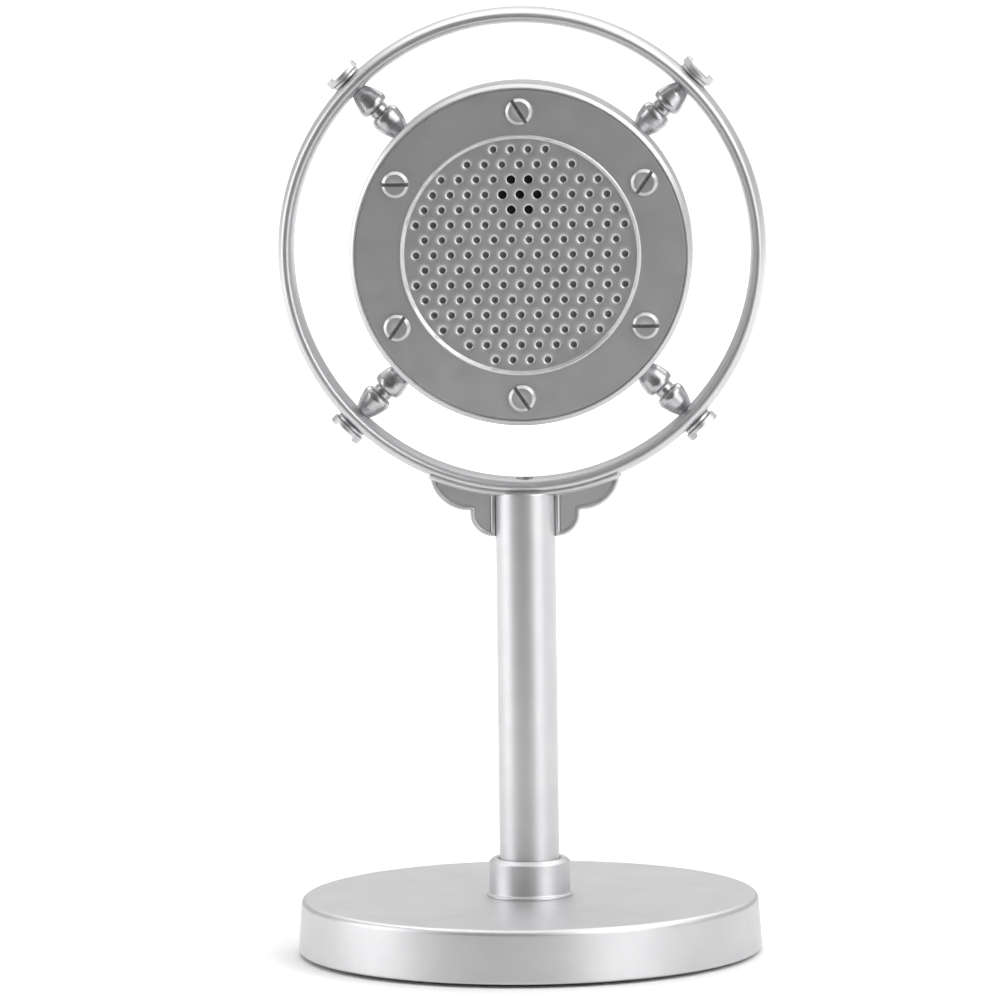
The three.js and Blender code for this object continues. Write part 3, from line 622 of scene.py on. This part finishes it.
def bottom_plate():
    piece = turned(
        "bottom_plate_fine",
        [
            (0, plate_low.z + PLATE_SUNK),
            (PLATE_SUNK_R, plate_low.z + PLATE_SUNK, 0.2),
            (PLATE_SUNK_R + 0.6, plate_low.z, 0.2),
            (plate_high.x, plate_low.z, 0.2),
            (plate_high.x, plate_high.z, 0.2),
            (0, plate_high.z),
        ],
        sides=192,
        steps=3,
    )
    carve(piece, [rod(PLATE_HOLE_R, 0, 5, up(x, y)) for x, y in boss_places()])
    fit(piece, "base", "hardware_steel", "bottom_plate")


def slotted_screw(name, slot, outline, place, slot_turn, width, depth):
    """A turned screw with a dulled slot, painted darker as shade, across the local Z end that its outline
    starts from.
    """
    screw = turned(name, outline, place, sides=64, steps=5)
    top = outline[0][1]
    turn = Matrix.Rotation(math.radians(slot_turn), 4, "Z")
    carve(screw, [block((-6, -width / 2, top - 1), (6, width / 2, top + depth), place @ turn)])
    soften(screw, 0.07)
    screw.data.materials.clear()
    screw.data.materials.append(MATERIALS[slot])
    screw.data.materials.append(PIT_SHADE)
    # the slot's walls and floor take the painted shade
    back = turn.inverted()
    for face in screw.data.polygons:
        _, across, height = back @ face.center / MM
        face.material_index = abs(across) < width / 2 + 0.03 and top + 0.12 < height < top + depth + 0.05
    return screw


def bottom_screws():
    top = under_screw_low.z
    head_r, shank_r = 2.8, 1.25
    outline = [
        (0, top),
        (head_r, top, 0.5),
        (head_r, plate_low.z - 0.02),
        (shank_r, plate_low.z - 0.02),
        (shank_r, under_screw_high.z),
        (0, under_screw_high.z),
    ]
    for i, (x, y) in enumerate(boss_places()):
        name = f"bottom_screw_fine_{i + 1}"
        screw = slotted_screw(name, "hardware_steel", outline, up(x, y), 30 + 50 * i, 0.8, 0.6)
        fit(screw, "base", "hardware_steel", f"bottom_screw_{i + 1}", flats=True)


def jack():
    place = facing(0, JACK_Z)
    barrel = turned(
        "jack_socket_fine",
        [
            (JACK_BORE_R, JACK_BARREL_Y),
            (JACK_BARREL_R, JACK_BARREL_Y),
            (JACK_BARREL_R, socket_high.y, 0.25),
            (JACK_BORE_R, socket_high.y, 0.35),
        ],
        place,
        sides=64,
    )
    fit(barrel, "base", "black_plastic", "jack_socket")
    housing = block(socket_low, (socket_high.x, JACK_HOUSING_BACK, socket_high.z), up())
    soften(housing, 0.25)
    carve(housing, [rod(JACK_BORE_R, JACK_BARREL_Y, socket_high.y + 2, place)])
    housing.name = "jack_housing_fine"
    fit(housing, "base", "black_plastic", "jack_socket", flats=True)
    inner_r = JACK_BARREL_R + 0.02
    outline = [
        (inner_r, jack_nut_low.y, 0.1),
        (jack_nut_high.x, jack_nut_low.y, 0.15),
        (jack_nut_high.x, jack_nut_high.y, 0.3),
        (inner_r, jack_nut_high.y, 0.2),
    ]
    nut = lathe("jack_nut_fine", rounded(outline, steps=3), place, sides=72, flute=0.12)
    fit(nut, "base", "polished_steel", "jack_nut")


# ---- Pole, saddle and hoop ----------------------------------------------------------------------
def bend(value):
    """A cosine or sine, drawn out so that a circle becomes the hoop's superellipse."""
    return math.copysign(abs(value) ** (2 / HOOP_POWER), value)


def band_inner(depth, clear):
    """Radius at which the saddle band lies against the hoop's oval section."""
    share = min(abs(depth) / (HOOP_DEPTH / 2 + clear), 1)
    return HOOP_MID_R + (HOOP_HALF + clear) * (1 - share**HOOP_POWER) ** (1 / HOOP_POWER)


def band_line(offset, reach, clear=0.02, steps=24):
    """Points across the saddle band, at an offset from its inner face."""
    depths = [reach * (2 * i / steps - 1) for i in range(steps + 1)]
    return [(band_inner(depth, clear) + offset, depth) for depth in depths]


def pole():
    top = pole_high.z + POLE_LIP
    piece = turned(
        "pole_fine",
        [
            (POLE_R, pole_low.z, 0.2),
            (POLE_R, top, 0.7),
            (0, top),
            (0, pole_high.z - POLE_CAP),
            (POLE_BORE, pole_high.z - POLE_CAP),
            (POLE_BORE, pole_low.z, 0.2),
        ],
        sides=128,
    )
    reach = BAND_DEPTH / 2 + 0.05
    notch = [(0, -reach), *band_line(BAND_THICK - 0.05, reach), (0, reach)]
    carve(piece, [lathe("cutter", notch, facing(), sides=256)])
    fit(piece, "stand", "satin_silver", "pole")


def arc_points(middle, radius, start, end, steps=20):
    """Points on an arc between two angles in degrees."""
    turns = [math.radians(start + (end - start) * i / steps) for i in range(steps + 1)]
    return [middle + radius * Vector((math.cos(turn), math.sin(turn))) for turn in turns]


def gusset_outline():
    """One gusset in X and Z: along the band, down two lobes and up beside the pole."""
    beside = POLE_R - 0.05
    band = HOOP_R - 0.35  # the outline's top is hidden in the band and the hoop
    steps = 16
    along = [beside + (BAND_REACH - 0.7 - beside) * i / steps for i in range(steps + 1)]
    return [
        *(Vector((x, HEAD_Z - math.sqrt(band**2 - x**2))) for x in along),
        *arc_points(OUTER_LOBE, OUTER_LOBE_R, -9, -90),
        *arc_points(INNER_LOBE, INNER_LOBE_R, 5, -86),
        Vector((beside, INNER_LOBE.y - INNER_LOBE_R + 0.02)),
    ]


def inset(outline, distance):
    """A closed clockwise outline moved inwards."""
    moved = []
    for i, here in enumerate(outline):
        coming = (here - outline[i - 1]).normalized()
        going = (outline[(i + 1) % len(outline)] - here).normalized()
        inward = Vector((coming.y + going.y, -coming.x - going.x)).normalized()
        squareness = max(inward.dot(Vector((coming.y, -coming.x))), 0.45)
        moved.append(here + inward * distance / squareness)
    return moved


def gusset(side, name):
    """A plate with a rounded bead all round, standing proud of its flat panel."""
    half = GUSSET_THICK / 2
    bead = 0.62  # radius of the bead's round top
    turns = [math.radians(180 - 20 * i) for i in range(10)]
    steps = [
        (bead * (1 + math.cos(turn)), half - bead * (1 - math.sin(turn)))
        for turn in turns
    ]
    steps.append((2 * bead + 0.12, half - bead))
    made = bmesh.new()
    outline = gusset_outline()
    loops = []
    for distance, depth in [*((d, -y) for d, y in reversed(steps)), *steps]:
        moved = inset(outline, distance)
        loops.append([made.verts.new((side * p.x * MM, depth * MM, p.y * MM)) for p in moved])
    for low, high in zip(loops, loops[1:]):
        join_rings(made, low, high)
    made.faces.new(loops[0])
    made.faces.new(loops[-1])
    bmesh.ops.triangulate(made, faces=[face for face in made.faces if len(face.verts) > 4])
    return new_piece(name, made)


def saddle_bracket():
    hug = BAND_DEPTH / 2
    strip = [*band_line(BAND_THICK, hug), *reversed(band_line(0, hug))]
    reach = math.asin(BAND_REACH / (HOOP_MID_R + HOOP_HALF))
    middle = math.pi / 2
    piece = lathe("saddle_bracket_fine", strip, facing(), 96, span=(middle - reach, middle + reach))
    soften(piece, 0.32, 50, 4)
    fit(piece, "stand", "satin_silver", "saddle_bracket")
    for side, name in ((1, "saddle_gusset_right"), (-1, "saddle_gusset_left")):
        fit(gusset(side, name), "stand", "satin_silver", "saddle_bracket")


def ring_hoop():
    count = 72
    turns = [2 * math.pi * i / count for i in range(count)]
    section = [
        (HOOP_MID_R + HOOP_HALF * bend(math.cos(turn)), HOOP_DEPTH / 2 * bend(math.sin(turn)))
        for turn in turns
    ]
    piece = lathe("ring_hoop_fine", section, facing(), sides=288)
    seat = ring_screw_high.z - RING_SCREW_HEAD
    seat_y = (ring_screw_low.y + ring_screw_high.y) / 2
    above = HEAD_Z - 50  # in the free air inside the hoop
    carve(piece, [rod(ACCESS_R, seat, above, up(0, seat_y, 0))])
    fit(piece, "stand", "satin_silver", "ring_hoop")


def ring_screw():
    top = ring_screw_high.z
    shank_r = 1.3
    socket_r, socket_depth = 1.4, 1.2
    place = up(0, (ring_screw_low.y + ring_screw_high.y) / 2, 0)
    screw = turned(
        "ring_screw_fine",
        [
            (0, top),
            (ring_screw_high.x, top, 0.4),
            (ring_screw_high.x, top - RING_SCREW_HEAD, 0.1),
            (shank_r, top - RING_SCREW_HEAD),
            (shank_r, ring_screw_low.z, 0.3),
            (0, ring_screw_low.z),
        ],
        place,
        sides=48,
    )
    carve(screw, [rod(socket_r, top - socket_depth, top + 1, place, sides=6)])
    soften(screw, 0.06)
    fit(screw, "stand", "hardware_steel", "ring_screw", flats=True)


# ---- Head: outlines are (radius, depth) round the head's own axis -------------------------------
def front_bezel():
    rim = HEAD_R - 1.25
    tongue = HEAD_R - CASING_WALL - 0.3
    piece = turned(
        "front_bezel_fine",
        [
            (LIP_IN_R, GRILLE_FACE - 0.02),
            (LIP_OUT_R - 0.35, FACE_Y - LIP_PROUD, 0.5),
            (LIP_OUT_R - 0.15, FACE_Y - LIP_PROUD, 0.15),
            (LIP_OUT_R, FACE_Y, 0.1),
            (LIP_OUT_R + 1.0, FACE_Y),
            (rim - 1.4, FACE_Y),
            (rim - 0.4, FACE_Y, 0.08),
            (rim - 0.35, FACE_Y + 0.4, 0.08),
            (rim - 0.1, FACE_Y + 0.4, 0.08),
            (rim, FACE_Y - 0.25, 0.12),
            (rim + 0.3, FACE_Y - 0.25, 0.2),
            (HEAD_R, FACE_Y + 0.75, 0.5),
            (HEAD_R, BEZEL_BACK, 0.2),
            (tongue, BEZEL_BACK),
            (tongue, BEZEL_BACK + 1.5, 0.3),
            (tongue - 1.1, BEZEL_BACK + 1.5, 0.3),
            (tongue - 1.1, BEZEL_BACK),
            (BEZEL_BORE_R, BEZEL_BACK),
            (BEZEL_BORE_R, GRILLE_FACE - 0.02),
        ],
        facing(),
        sides=256,
        steps=5,
    )
    piece.data.materials.append(MATERIALS["satin_silver"])
    piece.data.materials.append(LIP_HIGHLIGHT)
    # the lip's faces take the painted highlight
    for face in piece.data.polygons:
        face.material_index = LIP_IN_R < face.center.xy.length / MM < LIP_OUT_R
    fit(piece, "stand", "satin_silver", "front_bezel")


def loop_edges(made, loop):
    """The edges that already join a loop's vertices."""
    return [made.edges.get((a, b)) for a, b in zip(loop, [*loop[1:], loop[0]])]


def field_places():
    """Centres (x, up) of the grille's dimples, and whether each is a sound hole."""
    rise = DIMPLE_PITCH * math.sin(math.pi / 3)
    middle = (len(FIELD_ROWS) - 1) / 2
    sound = SOUND_ROW * rise
    places = []
    for row, count in enumerate(FIELD_ROWS):
        for i in range(count):
            x = (i - (count - 1) / 2) * DIMPLE_PITCH
            z = (middle - row) * rise
            places.append((x, z, math.hypot(x, z - sound) < 1.1 * DIMPLE_PITCH))
    return places


def grille():
    """A flat plate punched with dished dimples, seven of which go right through."""
    made = bmesh.new()

    def ring(x, z, radius, depth, count=28):
        turns = [2 * math.pi * i / count for i in range(count)]
        return [
            made.verts.new(((x + radius * math.cos(a)) * MM, depth * MM, (z + radius * math.sin(a)) * MM))
            for a in turns
        ]

    face = GRILLE_FACE
    dish = [(2.0, 0), (1.9, 0.004), (1.65, 0.024), (1.4, 0.06), (1.2, 0.105), (1.02, 0.17)]
    front_edges = []
    back_edges = []
    pits = []
    for x, z, through in field_places():
        widest = SOUND_HOLE_R if through else DIMPLE_R
        outline = [*dish, (widest + 0.13, 0.25), (widest + 0.04, 0.38), (widest, 0.6)]
        rings = [ring(x, z, max(radius, widest), face + depth) for radius, depth in outline]
        for low, high in zip(rings, rings[1:]):
            join_rings(made, low, high)
        front_edges += loop_edges(made, rings[0])
        if through:
            bottom = ring(x, z, widest, GRILLE_BACK)
            join_rings(made, rings[-1], bottom)
            back_edges += loop_edges(made, bottom)
            continue
        before = len(made.faces)
        deep = ring(x, z, widest * 0.9, face + 1.2)
        join_rings(made, rings[-1], deep)
        join_rings(made, deep, [made.verts.new((x * MM, (face + 1.3) * MM, z * MM))])
        pits.append((before, len(made.faces)))
    outer = [ring(0, 0, GRILLE_R, depth, count=160) for depth in (face, GRILLE_BACK)]
    join_rings(made, *outer)
    rim_edges = [loop_edges(made, loop) for loop in outer]
    bmesh.ops.triangle_fill(made, use_beauty=True, edges=[*front_edges, *rim_edges[0]])
    bmesh.ops.triangle_fill(made, use_beauty=True, edges=[*back_edges, *rim_edges[1]])
    made.faces.ensure_lookup_table()
    # the blind pits' walls and floors take the painted shade
    for start, end in pits:
        for index in range(start, end):
            made.faces[index].material_index = 1
    piece = new_piece("grille_fine", made, up(0, 0, HEAD_Z))
    piece.data.materials.append(MATERIALS["satin_silver"])
    piece.data.materials.append(PIT_SHADE)
    fit(piece, "stand", "satin_silver", "grille")


def face_screws():
    top = screw_low.y
    head_r, shank_r = 3.4, 1.5
    outline = [
        (0, top),
        (head_r - 0.8, top, 0.12),
        (head_r - 0.05, top + 0.75, 0.25),
        (head_r, FACE_Y - 0.01),
        (shank_r, FACE_Y - 0.01),
        (shank_r, screw_high.y),
        (0, screw_high.y),
    ]
    for i, slot_turn in enumerate(FACE_SLOTS):
        turn = math.radians(30 + 60 * i)
        across, rise = FACE_SCREW_PITCH_R * math.cos(turn), FACE_SCREW_PITCH_R * math.sin(turn)
        place = facing(across, HEAD_Z + rise)
        name = f"face_screw_fine_{i + 1}"
        screw = slotted_screw(name, "satin_silver", outline, place, -slot_turn, 0.9, 0.85)
        fit(screw, "stand", "satin_silver", f"face_screw_{i + 1}", flats=True)


def rear_shell():
    inner_back = CASING_BACK - CASING_WALL
    inner_r = HEAD_R - CASING_WALL
    piece = turned(
        "rear_shell_fine",
        [
            (0, inner_back),
            (inner_r, inner_back, 1.0),
            (inner_r, CASING_FRONT + 0.02, 0.15),
            (HEAD_R, CASING_FRONT + 0.02, 0.25),
            (HEAD_R, CASING_STRAIGHT_Y, 4.0),
            (HEAD_R - CASING_DRAFT, CASING_BACK, 3.2),
            (BACK_PANEL_R, CASING_BACK, 0.2),
            (BACK_PANEL_R - 0.4, CASING_BACK - BACK_PANEL_SUNK, 0.2),
            (0, CASING_BACK - BACK_PANEL_SUNK),
        ],
        facing(),
        sides=256,
        steps=8,
    )
    fit(piece, "stand", "satin_silver", "rear_shell")


def bell(end_r):
    """Half a baluster's outline, from one end to the neck in the middle."""
    half = (SPOKE_HIGH - SPOKE_LOW) / 2
    return [
        (end_r, -half, 0.2),
        (end_r + 0.95, -half + 2.0, 4.0),
        (3.9, -half + 4.9, 2.2),
        (3.55, -half + 6.0, 0.6),
        (2.45, -0.65, 0.3),
    ]


def baluster(place, name):
    middle = (SPOKE_LOW + SPOKE_HIGH) / 2
    upper = [(radius, -height, corner) for radius, height, corner in reversed(bell(2.1))]
    spindle = [(radius, middle + height, corner) for radius, height, corner in [*bell(2.45), *upper]]
    bore = [(STUD_BORE_R, SPOKE_HIGH), (STUD_BORE_R, SPOKE_LOW)]
    return turned(name, [*spindle, *bore], place, steps=10)


def clamp_nut(place, name):
    outline = [
        (STUD_BORE_R, NUT_LOW),
        (NUT_R, NUT_LOW, 0.25),
        (NUT_R, NUT_TOP, 0.3),
        (0, NUT_TOP),
        (0, NUT_TOP - NUT_ROOF),
        (STUD_BORE_R, NUT_TOP - NUT_ROOF),
    ]
    nut = turned(name, outline, place)
    half = NUT_SLOT / 2
    carve(nut, [block((-half, -6, NUT_TOP - NUT_SLOT_DEPTH), (half, 6, NUT_TOP + 1), place)])
    soften(nut, 0.12)
    return nut


def clamp_washer(place, name):
    low, high, wide = HOOP_R - 0.05, NUT_LOW - 0.05, NUT_R - 0.6
    outline = [(STUD_BORE_R, low), (wide, low, 0.2), (wide, high, 0.2), (STUD_BORE_R, high)]
    return turned(name, outline, place, steps=4)


def spokes():
    for i, angle in enumerate(DIAGONALS, 1):
        place = spoke(angle)
        spindle = baluster(place, f"baluster_fine_{i}")
        fit(spindle, "stand", "polished_steel", f"baluster_{i}")
        nut = clamp_nut(place, f"clamp_nut_fine_{i}")
        fit(nut, "stand", "satin_silver", f"clamp_nut_{i}", flats=True)
        washer = clamp_washer(place, f"clamp_washer_fine_{i}")
        fit(washer, "stand", "satin_silver", f"clamp_washer_{i}")


# ---- Carried-over CAD nodes ---------------------------------------------------------------------
def dress_cad_nodes():
    """Every CAD node takes its slot's material, the inner ones that stay shown among them."""
    for part in frame["record"]["subparts"]:
        node = frame["nodes"][part["node"]]
        node.data.materials.clear()
        node.data.materials.append(MATERIALS[part["material_slot"]])


# ---- Studio -------------------------------------------------------------------------------------
def floor():
    """A wide pale disc, most of it behind the microphone."""
    outline = [(radius / MM, 0) for radius in (0, 0.5 * FLOOR_R, FLOOR_R - 0.01, FLOOR_R)]
    under = [(FLOOR_R / MM, -10), (0, -10)]
    slab = lathe("floor", [*outline, *under], sides=256)
    slab.data.transform(Matrix.Translation((0, FLOOR_R + FLOOR_FRONT, 0)))
    look = Look("floor", grey(FLOOR_WHITE), 0.0, 0.7)
    look.color(look.tint(look.noise(60, 2), grey(FLOOR_WHITE - 0.01), grey(FLOOR_WHITE + 0.01)))
    look.glow(GLOW_START, GLOW_FULL, FLOOR_GLOW)
    slab.data.materials.append(look.material)
    slab.data.shade_smooth()
    slab.data.set_sharp_from_angle(angle=math.radians(35))


def direction(azimuth, elevation):
    """The unit vector towards an azimuth and an elevation in degrees. Azimuth 0 is the front."""
    across, rise = math.radians(azimuth), math.radians(elevation)
    return Vector(
        (
            math.sin(across) * math.cos(rise),
            -math.cos(across) * math.cos(rise),
            math.sin(rise),
        )
    )


def softbox(name, azimuth, elevation, distance, width, height, glow):
    """A plain rectangular studio light that faces the microphone."""
    away = direction(azimuth, elevation)
    light = bpy.data.lights.new(name, "AREA")
    light.shape = "RECTANGLE"
    light.size = width
    light.size_y = height
    light.energy = glow * math.pi * width * height
    lamp = bpy.data.objects.new(name, light)
    bpy.context.scene.collection.objects.link(lamp)
    lamp.location = LIGHTS_AIM + away * distance
    lamp.rotation_euler = away.to_track_quat("Z", "Y").to_euler()


def lights():
    """The softboxes, each with its azimuth, elevation, distance, width, height and glow."""
    softbox("left_softbox", -80, 12, 1.3, 0.9, 1.3, 2.05)
    softbox("right_softbox", 48, 12, 1.3, 0.85, 1.3, 1.75)
    softbox("top_softbox", 180, 70, 3.6, 5.0, 5.0, 1.6)
    softbox("high_softbox", 62, 42, 1.4, 1.6, 0.9, 1.9)


def world():
    """A pale room that is greyer in front. Seen straight from the camera, it is plain white."""
    room = bpy.data.worlds.new("studio")
    bpy.context.scene.world = room
    room.use_nodes = True
    nodes, links = room.node_tree.nodes, room.node_tree.links
    nodes.clear()
    outward = nodes.new("ShaderNodeTexCoord").outputs["Generated"]
    split = nodes.new("ShaderNodeSeparateXYZ")
    links.new(outward, split.inputs["Vector"])
    depth = nodes.new("ShaderNodeMapRange")
    depth.inputs["From Min"].default_value = -1
    depth.inputs["From Max"].default_value = 0.3
    depth.inputs["To Min"].default_value = ROOM_FRONT
    depth.inputs["To Max"].default_value = ROOM_BACK
    links.new(split.outputs["Y"], depth.inputs["Value"])
    around = nodes.new("ShaderNodeBackground")
    links.new(depth.outputs["Result"], around.inputs["Strength"])
    plain = nodes.new("ShaderNodeBackground")
    choice = nodes.new("ShaderNodeMixShader")
    for shade in (around, plain):
        shade.inputs["Color"].default_value = (1, 1, 1, 1)
    links.new(nodes.new("ShaderNodeLightPath").outputs["Is Camera Ray"], choice.inputs["Fac"])
    links.new(around.outputs["Background"], choice.inputs[1])
    links.new(plain.outputs["Background"], choice.inputs[2])
    links.new(choice.outputs["Shader"], nodes.new("ShaderNodeOutputWorld").inputs["Surface"])


def camera():
    back = direction(VIEW_AZIMUTH, VIEW_ELEVATION)
    right = Vector((0, 0, 1)).cross(back).normalized()
    above = back.cross(right)
    level = Matrix((right, above, back)).transposed()
    rolled = level @ Matrix.Rotation(math.radians(VIEW_ROLL), 3, "Z")
    lens = bpy.data.cameras.new("camera")
    lens.lens = LENS
    lens.sensor_width = SENSOR
    lens.clip_end = 50
    viewer = bpy.data.objects.new("camera", lens)
    bpy.context.scene.collection.objects.link(viewer)
    viewer.matrix_world = Matrix.Translation(VIEW_AIM + back * VIEW_DISTANCE) @ rolled.to_4x4()
    bpy.context.scene.camera = viewer


camera()
world()
lights()
floor()
dress_cad_nodes()
base_shell()
collar()
foot_ring()
bottom_plate()
bottom_screws()
jack()
pole()
saddle_bracket()
ring_hoop()
ring_screw()
front_bezel()
grille()
face_screws()
rear_shell()
spokes()

bpy.context.scene.view_settings.view_transform = "Standard"
